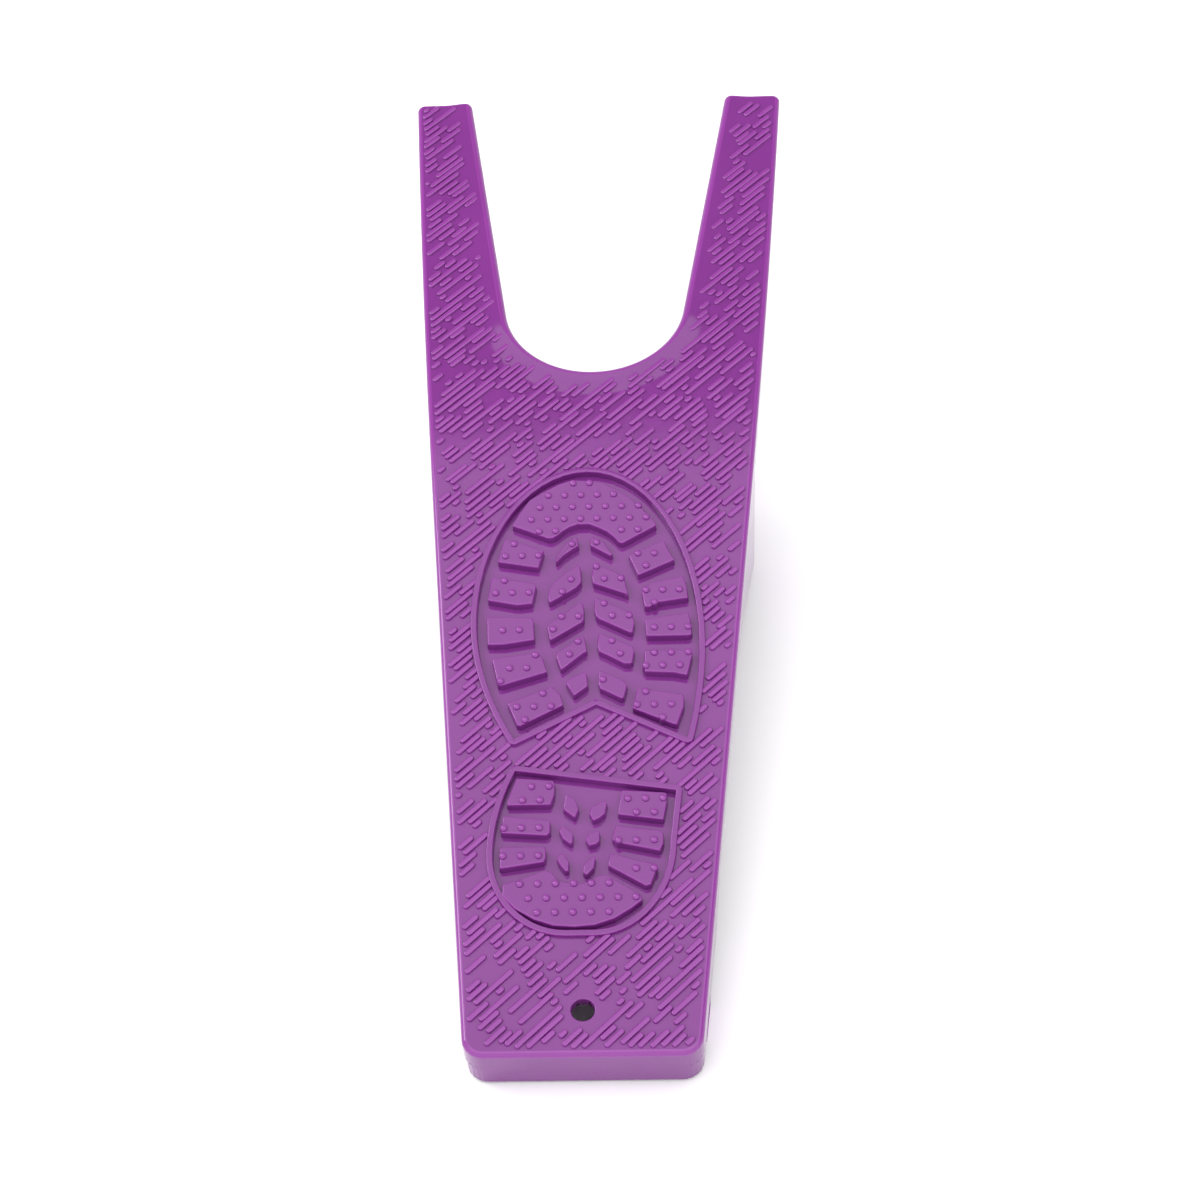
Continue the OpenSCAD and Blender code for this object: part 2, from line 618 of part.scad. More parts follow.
// Support leg: upright front wall, four webs, top flange and foot blocks
module support_leg() {
    color(purple)
        difference() {
            union() {
                intersection() {
                    on_board()
                        difference() {
                            base_block(seam_step, -big / 4, -base_h);
                            base_block(seam_step + leg_wall, -big / 4 - past, 0);
                        }
                    side_block(leg_side);
                }
                intersection() {
                    on_board()
                        base_block(seam_step + leg_wall / 2, -big / 4, -base_h);
                    side_block(leg_side);
                    union() {
                        translate([-big / 2, leg_front - leg_wall, 0])
                            cube([big, leg_wall, big]);
                        for (side = [-1, 1])
                            translate([side * rib_x - rib_t / 2, -big / 2, 0])
                                cube([rib_t, big, big]);
                        on_board()
                            translate([-big / 2, -big / 2, -base_h - leg_wall])
                                cube([big, big, leg_wall]);
                    }
                }
                for (side = [-1, 1])
                    translate([side * (foot_x - foot_w / 2) - foot_w / 2, leg_front - foot_len, floor_gap])
                        cube([foot_w, foot_len, foot_h]);
            }
            for (side = [-1, 1])
                translate([side * (foot_x - foot_w / 2), leg_front - foot_len / 2, floor_gap]) {
                    translate([-leg_pad_w / 2 - fit, -leg_pad_len / 2 - fit, -past])
                        cube([leg_pad_w + 2 * fit, leg_pad_len + 2 * fit, pad_pocket + past]);
                    cylinder(r = peg_r + fit / 2, h = pad_pocket + peg_len + fit);
                }
            on_board() {
                at_leg_screws()
                    translate([0, 0, -base_h - leg_wall - past])
                        cylinder(r = screw_r + screw_fit, h = leg_wall + 2 * past);
                at_leg_screws()
                    translate([0, 0, -base_h - leg_wall - big / 8])
                        cylinder(r = head_r + fit, h = big / 8);
                at_frame_screws()
                    translate([0, 0, -base_h - leg_wall - past])
                        cylinder(r = head_r + 2 * fit, h = leg_wall + 2 * past);
            }
        }
}

// Non-slip pad under one end of the leg
module leg_pad(side) {
    color(dark_rubber)
        translate([side * (foot_x - foot_w / 2), leg_front - foot_len / 2, 0]) {
            translate([-leg_pad_w / 2, -leg_pad_len / 2, 0])
                cube([leg_pad_w, leg_pad_len, floor_gap + pad_pocket]);
            cylinder(r = peg_r, h = floor_gap + pad_pocket + peg_len);
        }
}
module leg_pad_left() {
    leg_pad(-1);
}
module leg_pad_right() {
    leg_pad(1);
}

// Non-slip pad under one side of the tail
module tail_pad() {
    color(dark_rubber)
        difference() {
            on_board() {
                intersection() {
                    tail_pad_space(0);
                    base_block(seam_step, -big / 4, 0);
                }
                at_tail_peg()
                    translate([0, 0, -join])
                        cylinder(r = peg_r, h = peg_len + join);
            }
            below(0);
        }
}
module tail_pad_left() {
    mirror([1, 0, 0])
        tail_pad();
}
module tail_pad_right() {
    tail_pad();
}

// A screw whose head sits at the origin and whose shank points up
module screw(length) {
    translate([0, 0, -head_h])
        difference() {
            cylinder(r = head_r, h = head_h);
            for (turn = [0, 90])
                rotate([0, 0, turn])
                    translate([-head_r * 0.6, -0.4, -past])
                        cube([head_r * 1.2, 0.8, past + head_h / 2]);
        }
    translate([0, 0, -join])
        cylinder(r = screw_r, h = length + join);
}

// Six screws from below through the base frame into the tread board's posts
module frame_screws() {
    color(steel)
        on_board()
            at_frame_screws()
                translate([0, 0, -frame_seat_h])
                    screw(frame_seat_h - plate_t - 2 * join);
}

// Four screws from below through the leg's flange into the base frame
module leg_screws() {
    color(steel)
        on_board()
            at_leg_screws()
                translate([0, 0, -base_h - leg_wall])
                    screw(base_h + leg_wall - plate_t - 2 * rib_t);
}

tread_board();
base_frame();
support_leg();
leg_pad_left();
leg_pad_right();
tail_pad_left();
tail_pad_right();
frame_screws();
leg_screws();
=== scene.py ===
"""Boot jack of glossy violet plastic, seen from behind its tail, on a pale floor."""

import math
import random

import bmesh
import bpy
from mathutils import Euler, Matrix, Vector
from mathutils.geometry import delaunay_2d_cdt


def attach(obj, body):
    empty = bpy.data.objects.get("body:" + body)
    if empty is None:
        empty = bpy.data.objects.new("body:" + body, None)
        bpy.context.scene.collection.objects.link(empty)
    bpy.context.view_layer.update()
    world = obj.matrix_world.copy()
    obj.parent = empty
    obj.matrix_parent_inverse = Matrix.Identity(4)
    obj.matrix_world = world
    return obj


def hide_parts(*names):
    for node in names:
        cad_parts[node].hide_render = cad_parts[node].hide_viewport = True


MM = 0.001

# Driving sizes of the board, in millimetres and degrees, as in the part's source
FORK_LEN = 166
TAIL_LEN = 191
WAIST_W = 98.8
SIDE_TAPER = 0.0895
TIP_DRAW_IN = 2.1
TILT = 10.5
PLATE_T = 3.2
SKIRT_H = 8
TAIL_CORNER_R = 6
TIP_CORNER_R = 2.5
MOUTH_R = 28.9
MOUTH_Y = 74.6
MOUTH_FLARE = 8.8
LIP_W = 10
LIP_H = 1.0
LIP_R = 2.2
HOLE_R = 3.25
HOLE_Y = 13.4 - TAIL_LEN
PRINT_DEPTH = 1.2
RIM_H = 1.3
RIM_W = 1.8
LUG_H = 1.4
STUD_R = 1.1
STUD_H = 0.9
STUD_PITCH = 5
STUD_ROW = 4.5
HEEL_Y = 36 - TAIL_LEN
TAIL_H = 16.5
FLOOR_GAP = 1

# Radius of the board's upper edge, and of the hanging hole's edge
EDGE_R = 1.5
HOLE_EDGE_R = 0.35
# Distance from the mouth over which its edge radius turns into that of the board
LIP_FADE = 4
# How softly the plate swells into the lip: 1 is a straight slope
LIP_POWER = 2
LUG_CORNER_R = 0.5
# Steps round one half of the mouth's round end
MOUTH_STEPS = 40
# Edges that turn by more degrees than this stay sharp
SHARP_ANGLE = 50

# Dashes moulded on the top face
DASH_ANGLE = 45
DASH_LANE = 2.15
DASH_W = 1.75
DASH_H = 0.8
DASH_MARGIN = 2.6
HOLE_CLEAR = 6
DASH_SEED = 11
# Smallest and largest distance from the mouth's edge at which a dash ends in the lip
DASH_LIP = (3.4, 7)
# Kinds of dashes: share of all up to this kind, shortest and longest distance between the round ends
DASH_KINDS = ((0.15, 0.9, 1.7), (0.6, 3, 8), (0.88, 8, 15), (1, 16, 26))
# Free space after a dash: short or long, and the share of the short ones
SHORT_FREE = (0.9, 4.2)
LONG_FREE = (5, 13)
SHORT_SHARE = 0.72

# Camera in the row frame, in metres and degrees
CAMERA_AT = (0.044213, -0.605421, 0.613989)
CAMERA_TURN = (45.25495, 2.90734, 1.21205)
CAMERA_LENS = 81.407
CAMERA_SENSOR = 36

# Overhead softbox: height and size in metres, brightness, and where its front edge is mirrored
BOX_HEIGHT = 1.6
BOX_SIZE = (2.2, 1.6)
BOX_LIGHT = 1.5
GLOSS_EDGE_Y = 19
# Key softbox on the far left, outside what plate and lip mirror: place and size in metres, brightness
KEY_AT = (-1.3, 0.45, 1.3)
KEY_SIZE = (0.8, 0.8)
KEY_LIGHT = 6.4
# Brightness of the white surroundings, of their side behind the camera, and of the dim ceiling
SIDES = 0.95
BEHIND = 1.6
CEILING = 0.35

# Two close shades of the plastic, and two lighter ones for its thin raised edges and rounded tops, a painted
# highlight
VIOLET = ((0.152, 0.0195, 0.178), (0.161, 0.0215, 0.188))
VIOLET_PAINTED_HIGHLIGHT = ((0.2, 0.028, 0.228), (0.211, 0.031, 0.24))

sin_tilt = math.sin(math.radians(TILT))
cos_tilt = math.cos(math.radians(TILT))
ORIGIN_Z = (TAIL_H + FLOOR_GAP + TAIL_LEN * sin_tilt / cos_tilt) * cos_tilt
ORIGIN_Y = ((TAIL_LEN - FORK_LEN) * cos_tilt - SKIRT_H * sin_tilt) / 2

# Front print's rim, along its middle line: toe, widest places, lower corners and tip of its V
FRONT_TOE = (-1.5, 5.5)
FRONT_LEFT = (-34.5, -48)
FRONT_RIGHT = (33.5, -59)
FRONT_CORNER_LEFT = (-21.5, -93)
FRONT_CORNER_RIGHT = (29.5, -93.5)
FRONT_NOTCH = (2.5, -79.5)

# Heel print's rim, counted from the back of the print: ends of its flat back, widest places, corners
HEEL_BACK_LEFT = (-5, 0.3)
HEEL_BACK_RIGHT = (3, 0.3)
HEEL_LEFT = (-27, 26)
HEEL_RIGHT = (24.8, 29)
HEEL_CORNER_LEFT = (-21, 53.5)
HEEL_CORNER_RIGHT = (26.5, 46)

# Lugs of the front print: toe cap, left column, right column, middle left, middle right
FRONT_LUGS = [
    [(-24, -15.5), (-22, -11), (-19, -6), (-15, -3), (-10, 0), (-6, 1.5), (0, 1), (3.5, 0), (8.5, -3),
     (12.5, -6.5), (16, -10.5), (19.5, -15), (20, -16.5), (10.5, -22.5), (9.5, -23), (8.5, -22.5),
     (7, -20.5), (5, -18.5), (2.5, -17), (-0.5, -15.5), (-4, -15.5), (-6.5, -16.5), (-8.5, -18),
     (-10, -19.5), (-11.5, -20.5), (-13, -20.5)],
    [(-26, -20.5), (-21.5, -22), (-14, -25), (-15.5, -31.5), (-28, -29), (-27, -24)],
    [(-29.5, -34.5), (-17, -37), (-16, -38), (-17, -44.5), (-21.5, -45), (-30.5, -43)],
    [(-30.5, -49), (-17, -49.5), (-16.5, -51), (-16, -57.5), (-25, -59), (-30, -59)],
    [(-28.5, -64), (-15, -62), (-13.5, -64), (-12, -69), (-25.5, -73.5), (-26.5, -73)],
    [(-23.5, -79.5), (-10.5, -74), (-8, -77), (-7, -80.5), (-19.5, -87.5), (-20.5, -87)],
    [(11.5, -27.5), (17.5, -24.5), (22, -22), (22.5, -22.5), (23.5, -25.5), (25.5, -29.5), (14.5, -35)],
    [(15.5, -40.5), (18, -38), (25.5, -36), (28, -35.5), (29, -39), (29.5, -43.5), (20, -45),
     (18, -46.5), (16.5, -46.5)],
    [(16.5, -51), (21.5, -50), (29.5, -49), (30, -51), (30.5, -56.5), (29.5, -57), (17, -57)],
    [(16.5, -62), (30, -62), (30.5, -64), (29.5, -69), (29, -71), (25, -70), (16.5, -69.5)],
    [(14.5, -75), (27.5, -77.5), (28, -78.5), (28, -81.5), (26, -88), (24.5, -87.5), (13, -82)],
    [(-5, -20.5), (-4, -20.5), (-3.5, -23.5), (-5, -24.5), (-8, -27), (-10, -29.5), (-10.5, -29),
     (-10, -27), (-8.5, -24.5), (-7, -22)],
    [(-4, -31), (-3, -31), (-2.5, -35), (-2.5, -37), (-4, -39), (-12, -44.5), (-12.5, -42), (-12, -39),
     (-10.5, -36.5), (-7.5, -33.5)],
    [(-3, -44.5), (-2, -44.5), (-1.5, -47.5), (-1.5, -50.5), (-2, -51.5), (-11.5, -58), (-12.5, -53),
     (-12, -52)],
    [(-1.5, -56), (-0.5, -61), (-0.5, -62), (-1.5, -62.5), (-8, -68.5), (-9.5, -64), (-9.5, -62.5),
     (-8, -61), (-5, -59)],
    [(0, -20), (0.5, -20), (4, -22), (5.5, -25), (7, -27), (7, -27.5), (6, -27.5), (3, -25.5),
     (0, -23.5)],
    [(1, -31.5), (4, -31.5), (8.5, -34), (10.5, -36.5), (11.5, -41), (11.5, -42.5), (10.5, -41.5),
     (1, -37.5), (0.5, -35)],
    [(1.5, -43), (2.5, -43), (11.5, -48), (13, -50), (13.5, -52), (13, -55.5), (12, -55.5), (3, -50.5),
     (2, -49.5), (1.5, -47.5)],
    [(3, -55.5), (3.5, -55.5), (8.5, -58), (13, -60.5), (13.5, -62), (13, -66), (12.5, -66.5),
     (10.5, -66.5), (6.5, -64), (3, -62), (2.5, -60)],
    [(3, -69), (4, -69), (10.5, -72.5), (11.5, -74), (10.5, -78.5), (9.5, -78.5), (7, -77), (3.5, -75),
     (3, -73.5)]]
FRONT_PLAIN = [[(-0.5, -69), (0, -74), (0, -74.5), (-4, -77.5), (-6.5, -73), (-6, -72), (-3, -70)]]

# Lugs of the heel print, counted from the back of the print: cap, left column, right column
HEEL_LUGS = [
    [(-23, 15.5), (-18.5, 17), (-13.5, 19), (-11, 20), (-9, 19), (-7.5, 16.5), (-5, 16), (-0.5, 15.5),
     (2, 16.5), (4, 18), (6.5, 18), (11.5, 14.5), (16, 11.5), (16, 10), (13, 7.5), (8.5, 4.5), (3, 2.5),
     (-2.5, 2), (-8.5, 2.5), (-14, 4.5), (-19.5, 8), (-23, 12)],
    [(-20, 50), (-9.5, 49), (-9, 48), (-9, 44.5), (-10, 41), (-22.5, 41), (-22.5, 42.5), (-21, 47)],
    [(-23.5, 37.5), (-22.5, 37.5), (-10.5, 36), (-10, 35.5), (-10, 32), (-11, 31), (-24, 32)],
    [(-24, 27.5), (-11.5, 27.5), (-11, 26.5), (-11, 24), (-11.5, 22.5), (-24, 20.5)],
    [(10, 45.5), (22.5, 44.5), (23, 44), (23, 41.5), (22, 35.5), (9, 37.5)],
    [(8.5, 34), (11.5, 33.5), (21.5, 32), (22, 31), (22, 28), (21, 25.5), (8.5, 28.5), (7.5, 29.5)],
    [(7, 24.5), (8, 25), (15, 22.5), (19.5, 21.5), (20, 19.5), (18.5, 15), (17, 14.5), (6.5, 21),
     (6.5, 22)]]
# Small leaves in the middle of the heel print
HEEL_PLAIN = [
    [(-6, 44), (-5.5, 44.5), (-3, 42.5), (-2, 39.5), (-3, 36.5), (-3.5, 36.5), (-6.5, 39.5)],
    [(5, 42), (6, 41.5), (5.5, 38), (4, 36.5), (2, 35.5), (1, 38), (1.5, 40)],
    [(-7, 34), (-5.5, 33.5), (-3.5, 31.5), (-3.5, 29), (-4, 28), (-6.5, 30), (-7.5, 32.5)],
    [(3.5, 32.5), (4, 32), (4, 29), (3, 28), (1, 27.5), (0, 29.5), (1, 31.5)],
    [(-7, 25), (-6, 25), (-4.5, 22.5), (-4.5, 19.5), (-5.5, 19.5), (-7, 21.5), (-8, 23.5)],
    [(2.5, 24.5), (3, 23.5), (2.5, 20.5), (0.5, 18), (-0.5, 19), (-0.5, 21), (1, 23)]]
FRONT_STUD_FROM = (4.4, 0)
HEEL_STUD_FROM = (4.4, 2)
STUD_MARGIN = 0.3
# Places of the pattern on a lug's edge that carry no stud
FRONT_BARE = [(-28, -58.5), (-28, -49.5), (-13, -67.5), (22, -22.5), (7, -76.5)]
HEEL_BARE = [(-20.5, 47), (17, 15.5), (9.5, 20), (9.5, 38), (-20.5, 11)]
# Studs beside the pattern, or on a place of it that lies on a lug's edge
FRONT_ADDED = [(-5.5, -23), (2, -31.5), (14.5, -9)]
HEEL_ADDED = [(-3, 15.5)]
# A side of a lug shorter than this is taken up by its rounded corner
SHORT_SIDE = 0.6


def row_point(x, y, z):
    """A point of the board's own coordinates, in millimetres, in the row frame, in metres."""
    return Vector((x, y * cos_tilt - z * sin_tilt + ORIGIN_Y, y * sin_tilt + z * cos_tilt + ORIGIN_Z)) * MM


def half_w(y):
    """Half the board's width at a distance from the waist line."""
    return WAIST_W / 2 + SIDE_TAPER * y - (TIP_DRAW_IN * (y / FORK_LEN) ** 2 if y > 0 else 0)


def mouth_half(y, d=0):
    """Half the mouth's width on its straight sides, or of a line at a distance d outside them."""
    flare = math.radians(MOUTH_FLARE)
    return (MOUTH_R + d + (y - MOUTH_Y) * math.sin(flare)) / math.cos(flare)


def mouth_arc(r):
    """Points round the mouth's end at a radius, from its right side to its lowest point."""
    flare = math.radians(MOUTH_FLARE)
    turns = [-flare - (math.pi / 2 - flare) * k / MOUTH_STEPS for k in range(MOUTH_STEPS + 1)]
    return [(r * math.cos(a), MOUTH_Y + r * math.sin(a)) for a in turns]


def as_vectors(points):
    return [Vector(p) for p in points]


def left_of(v):
    return Vector((-v.y, v.x))


def normals(line):
    """Inward mitre vector at each point of a closed anticlockwise outline."""
    made = []
    for i, p in enumerate(line):
        before = left_of((p - line[i - 1]).normalized())
        after = left_of((line[(i + 1) % len(line)] - p).normalized())
        made.append((before + after) / max(0.4, 1 + before.dot(after)))
    return made


def inset(line, d):
    """A closed outline moved inwards."""
    return [p + n * d for p, n in zip(line, normals(line))]


def rounded(line, radii, steps=5):
    """A closed outline with corners rounded; radii is one number or one for each point."""
    made = []
    for i, b in enumerate(line):
        a, c = line[i - 1], line[(i + 1) % len(line)]
        r = radii[i] if isinstance(radii, (list, tuple)) else radii
        u, v = (a - b).normalized(), (c - b).normalized()
        half = math.acos(max(-1, min(1, u.dot(v)))) / 2
        room = 0.45 * min((a - b).length, (c - b).length) * math.tan(half)
        r = min(r, room)
        if r <= 0.01 or half > math.radians(84):
            made.append(b)
            continue
        centre = b + (u + v).normalized() * r / math.sin(half)
        start = b + u * r / math.tan(half) - centre
        end = b + v * r / math.tan(half) - centre
        made += [centre + (start * (steps - k) + end * k).normalized() * r for k in range(steps + 1)]
    return made


def quarter(a, b, steps=14):
    """A quarter of an ellipse from a, where it runs upright, towards b, where it runs level, without b."""
    return [Vector((b[0] + (a[0] - b[0]) * math.cos(math.pi / 2 * k / steps),
                    a[1] + (b[1] - a[1]) * math.sin(math.pi / 2 * k / steps))) for k in range(steps)]


def flank(a, b, steps=10):
    """A shallow bend from a corner a towards the widest place b, where it runs upright, without b."""
    a, b = Vector(a), Vector(b)
    c = Vector((b.x, (a.y + b.y) / 2))
    return [a * (1 - t) ** 2 + c * 2 * t * (1 - t) + b * t * t for t in (k / steps for k in range(steps))]


def inside(q, line):
    """Says whether a point lies inside a closed outline."""
    hit = False
    for i, a in enumerate(line):
        b = line[(i + 1) % len(line)]
        if (a.y > q.y) != (b.y > q.y) and q.x < a.x + (q.y - a.y) * (b.x - a.x) / (b.y - a.y):
            hit = not hit
    return hit


def edge_gap(q, line):
    """Distance of a point from a closed outline."""
    best = 1e9
    for i, a in enumerate(line):
        d = line[(i + 1) % len(line)] - a
        t = max(0, min(1, (q - a).dot(d) / d.dot(d)))
        best = min(best, (q - a - d * t).length)
    return best


def mouth_gap(x, y):
    """Distance of a point of the board from the mouth's edge."""
    flare = math.radians(MOUTH_FLARE)
    along = abs(x) * math.sin(flare) + (y - MOUTH_Y) * math.cos(flare)
    if along > 0:
        return abs(x) * math.cos(flare) - (y - MOUTH_Y) * math.sin(flare) - MOUTH_R
    return math.hypot(x, y - MOUTH_Y) - MOUTH_R


def lip_height(x, y):
    """Height of the plate's surface, which rises softly towards the mouth."""
    t = (mouth_gap(x, y) - LIP_R) / (LIP_W - LIP_R)
    t = max(0, min(1, t))
    return LIP_H * (1 - t) ** LIP_POWER


class Skin:
    """Points and faces of one piece, in board coordinates."""

    def __init__(self):
        self.points = []
        self.faces = []
        # Faces that take the lighter second material, a painted highlight
        self.raised = set()

    def row(self, points):
        """Adds points and gives their numbers."""
        first = len(self.points)
        self.points += [tuple(p) for p in points]
        return list(range(first, len(self.points)))

    def strip(self, low, high):
        """Quads between two closed rows of as many points."""
        n = len(low)
        self.faces += [(low[i], low[(i + 1) % n], high[(i + 1) % n], high[i]) for i in range(n)]

    def stack(self, rows, cap=True):
        """A skin over closed rows of points, from the lowest to the highest, which a face may close."""
        made = [self.row(r) for r in rows]
        for low, high in zip(made, made[1:]):
            self.strip(low, high)
        if cap:
            self.faces.append(tuple(made[-1]))

    def paint_highlight_from(self, first, last=None):
        """Gives the faces from one number to another the lighter second material, a painted highlight on thin
        raised edges.
        """
        self.raised.update(range(first, len(self.faces) if last is None else last))

    def sheet(self, outline, holes, height, extra=()):
        """A flat or swelling face inside an outline, with holes, at a height worked out for each point."""
        loops = [outline] + list(holes)
        points, edges = [], []
        for loop in loops:
            first = len(points)
            points += [Vector(p[:2]) for p in loop]
            edges += [(first + i, first + (i + 1) % len(loop)) for i in range(len(loop))]
        for line in extra:
            first = len(points)
            points += [Vector(p[:2]) for p in line]
            edges += [(first + i, first + i + 1) for i in range(len(line) - 1)]
        verts, _, faces, _, _, _ = delaunay_2d_cdt(points, edges, [], 0, 1e-5)
        ids = self.row([(v.x, v.y, height(v.x, v.y)) for v in verts])
        outer = as_vectors([p[:2] for p in outline])
        inner = [as_vectors([p[:2] for p in hole]) for hole in holes]
        for f in faces:
            middle = sum((verts[i] for i in f), Vector((0, 0))) / len(f)
            if inside(middle, outer) and not any(inside(middle, hole) for hole in inner):
                self.faces.append(tuple(ids[i] for i in f))

    def make(self, name, material, edges):
        """Makes the piece, with a second, lighter material on its thin raised edges as painted highlight."""
        mesh = bpy.data.meshes.new(name)
        mesh.from_pydata([row_point(*p) for p in self.points], [], self.faces)
        for i in self.raised:
            mesh.polygons[i].material_index = 1
        obj = bpy.data.objects.new(name, mesh)
        bpy.context.scene.collection.objects.link(obj)
        bm = bmesh.new()
        bm.from_mesh(mesh)
        bmesh.ops.remove_doubles(bm, verts=bm.verts, dist=1e-6)
        bm.to_mesh(mesh)
        bm.free()
        places = [f.material_index for f in mesh.polygons]
        finish_mesh(obj, material)
        mesh.materials.append(edges)
        mesh.polygons.foreach_set("material_index", places)
        return obj


def finish_mesh(obj, material):
    """Smooth shading that keeps flat faces flat and sharp edges sharp, and the piece's material."""
    mesh = obj.data
    mesh.materials.clear()
    mesh.materials.append(material)
    mesh.shade_smooth()
    mesh.set_sharp_from_angle(angle=math.radians(SHARP_ANGLE))
    weighted = obj.modifiers.new("weighted", "WEIGHTED_NORMAL")
    weighted.mode = "FACE_AREA"
    weighted.weight = 50
    weighted.keep_sharp = True


def board_outline():
    """The board's outline with its mouth, anticlockwise, and the edge radius at each point."""
    steps = 12
    right = [(half_w(-TAIL_LEN), -TAIL_LEN)]
    right += [(half_w(FORK_LEN * k / steps), FORK_LEN * k / steps) for k in range(steps + 1)]
    radii = [TAIL_CORNER_R] + [0] * steps + [TIP_CORNER_R]
    right += [(mouth_half(FORK_LEN), FORK_LEN)] + mouth_arc(MOUTH_R)
    radii += [TIP_CORNER_R] + [0] * (MOUTH_STEPS + 1)
    left = [(-x, y) for x, y in right[-2::-1]]
    bent = rounded(as_vectors(right + left), radii + radii[-2::-1])
    line = []
    # Points about 1 mm apart along the ends of the fork, where the lip's height changes
    for p, q in zip(bent, bent[1:] + bent[:1]):
        count = max(1, round((q - p).length)) if min(p.y, q.y) > FORK_LEN - 0.01 else 1
        line += [p.lerp(q, k / count) for k in range(count)]
    edge = [LIP_R + (EDGE_R - LIP_R) * min(1, max(0, mouth_gap(p.x, p.y) / LIP_FADE)) for p in line]
    return line, edge


def print_rims():
    """Closed middle lines of the two rims, anticlockwise."""
    front = [Vector(FRONT_NOTCH)] + flank(FRONT_CORNER_RIGHT, FRONT_RIGHT) + quarter(FRONT_RIGHT, FRONT_TOE)
    front += [Vector(FRONT_TOE)] + quarter(FRONT_LEFT, FRONT_TOE)[::-1]
    front += flank(FRONT_CORNER_LEFT, FRONT_LEFT)[::-1]
    heel = [Vector(HEEL_BACK_RIGHT)] + quarter(HEEL_RIGHT, HEEL_BACK_RIGHT)[::-1]
    heel += [Vector(HEEL_CORNER_RIGHT)] + flank(HEEL_CORNER_LEFT, HEEL_LEFT)
    heel += quarter(HEEL_LEFT, HEEL_BACK_LEFT) + [Vector(HEEL_BACK_LEFT)]
    return front, [p + Vector((0, HEEL_Y)) for p in heel]


def circle(x, y, r, steps=48):
    return [Vector((x + r * math.cos(a), y + r * math.sin(a)))
            for a in (2 * math.pi * k / steps for k in range(steps))]


def mouth_line(d):
    """Points at a distance from the mouth's edge, from one fork tip to the other."""
    r = MOUTH_R + d
    top = FORK_LEN - EDGE_R - 0.5
    bottom = MOUTH_Y - r * math.sin(math.radians(MOUTH_FLARE))
    steps = 30
    heights = [top + (bottom - top) * k / steps for k in range(steps)]
    side = as_vectors([(mouth_half(y, d), y) for y in heights] + mouth_arc(r))
    return side + [Vector((-p.x, p.y)) for p in side[-2::-1]]


def underside(skin, node):
    """Adds the CAD node's faces that lie below the plate, which the photograph doesn't show."""
    mesh = node.data
    turn = Matrix.Rotation(-math.radians(TILT), 3, "X")
    origin = Vector((0, ORIGIN_Y, ORIGIN_Z))
    points = [turn @ (v.co / MM - origin) for v in mesh.vertices]
    ids = {}
    for f in mesh.polygons:
        if all(points[i].z < -PLATE_T + 0.01 for i in f.vertices):
            for i in f.vertices:
                if i not in ids:
                    ids[i] = skin.row([points[i]])[0]
            skin.faces.append(tuple(ids[i] for i in f.vertices))


def board_shell(material, edges, node):
    """The plate with its rounded edges, raised mouth lip and recessed prints."""
    skin = Skin()
    line, edge = board_outline()
    normal = normals(line)
    steps = 7
    top = [lip_height(*(p + n * r)) for p, n, r in zip(line, normal, edge)]
    rows = [[(p.x, p.y, -SKIRT_H) for p in line]]
    rows.append([(p.x, p.y, -SKIRT_H / 2 - EDGE_R / 2) for p in line])
    for k in range(steps + 1):
        a = math.pi / 2 * k / steps
        rows.append([(*(p + n * r * (1 - math.cos(a))), z - r * (1 - math.sin(a)))
                     for p, n, r, z in zip(line, normal, edge, top)])
    skin.stack(rows, cap=False)
    # The board's rounded upper edge takes the lighter material, a painted highlight
    skin.paint_highlight_from(2 * len(line))
    front, heel = print_rims()
    hole = circle(0, HOLE_Y, HOLE_R + HOLE_EDGE_R)
    inner = rows[-1]
    lines = [mouth_line(d) for d in (3, 4, 5, 6, 7, 8, 9, 10)]
    skin.sheet(inner, [front, heel, hole], lip_height, lines)
    for print_line in (front, heel):
        skin.sheet(print_line, [], lambda x, y: -PRINT_DEPTH)
    ring = [[(*p, 0) for p in hole]]
    for k in range(1, 5):
        a = math.pi / 2 * k / 4
        r = HOLE_R + HOLE_EDGE_R * (1 - math.sin(a))
        ring.append([(*p, -HOLE_EDGE_R * (1 - math.cos(a))) for p in circle(0, HOLE_Y, r)])
    ring.append([(*p, -PLATE_T) for p in circle(0, HOLE_Y, HOLE_R)])
    skin.stack(ring, cap=False)
    underside(skin, node)
    return skin.make("tread_board_shell", material, edges)


def lug(skin, outline, y):
    """One lug with a drafted wall, a bevelled edge and rounded corners."""
    points = [p + Vector((0, y)) for p in as_vectors(outline)]
    points = [p for i, p in enumerate(points) if (p - points[i - 1]).length > SHORT_SIDE]
    line = rounded(points, LUG_CORNER_R, 3)
    if sum(a.x * b.y - a.y * b.x for a, b in zip(line, line[1:] + line[:1])) < 0:
        line.reverse()
    profile = [(-0.2, -PRINT_DEPTH - 0.1), (-0.1, -PRINT_DEPTH + 0.12), (0, 0.2), (0.03, LUG_H - 0.42),
               (0.12, LUG_H - 0.18), (0.26, LUG_H - 0.04), (0.42, LUG_H)]
    skin.stack([[(*p, z) for p in inset(line, d)] for d, z in profile])
    # The bevelled top edge takes the lighter material, a painted highlight
    bevel_ends = len(skin.faces) - 1
    skin.paint_highlight_from(bevel_ends - 3 * len(line), bevel_ends)


def stud(skin, x, y):
    """One round-topped stud. It stands on the floor of its print, also where it reaches past a lug's edge."""
    foot = -PRINT_DEPTH - 0.1 - LUG_H
    sides = 20
    rings = [(1.0, foot), (1.0, 0.1 * STUD_H), (0.97, 0.32 * STUD_H), (0.84, 0.6 * STUD_H),
             (0.6, 0.84 * STUD_H), (0.3, 0.96 * STUD_H), (0.1, STUD_H)]
    skin.stack([[(x + STUD_R * s * math.cos(a), y + STUD_R * s * math.sin(a), LUG_H + z)
                 for a in (2 * math.pi * k / sides for k in range(sides))] for s, z in rings])
    # The stud's rounded top takes the lighter material, a painted highlight
    skin.paint_highlight_from(len(skin.faces) - 1 - 4 * sides)


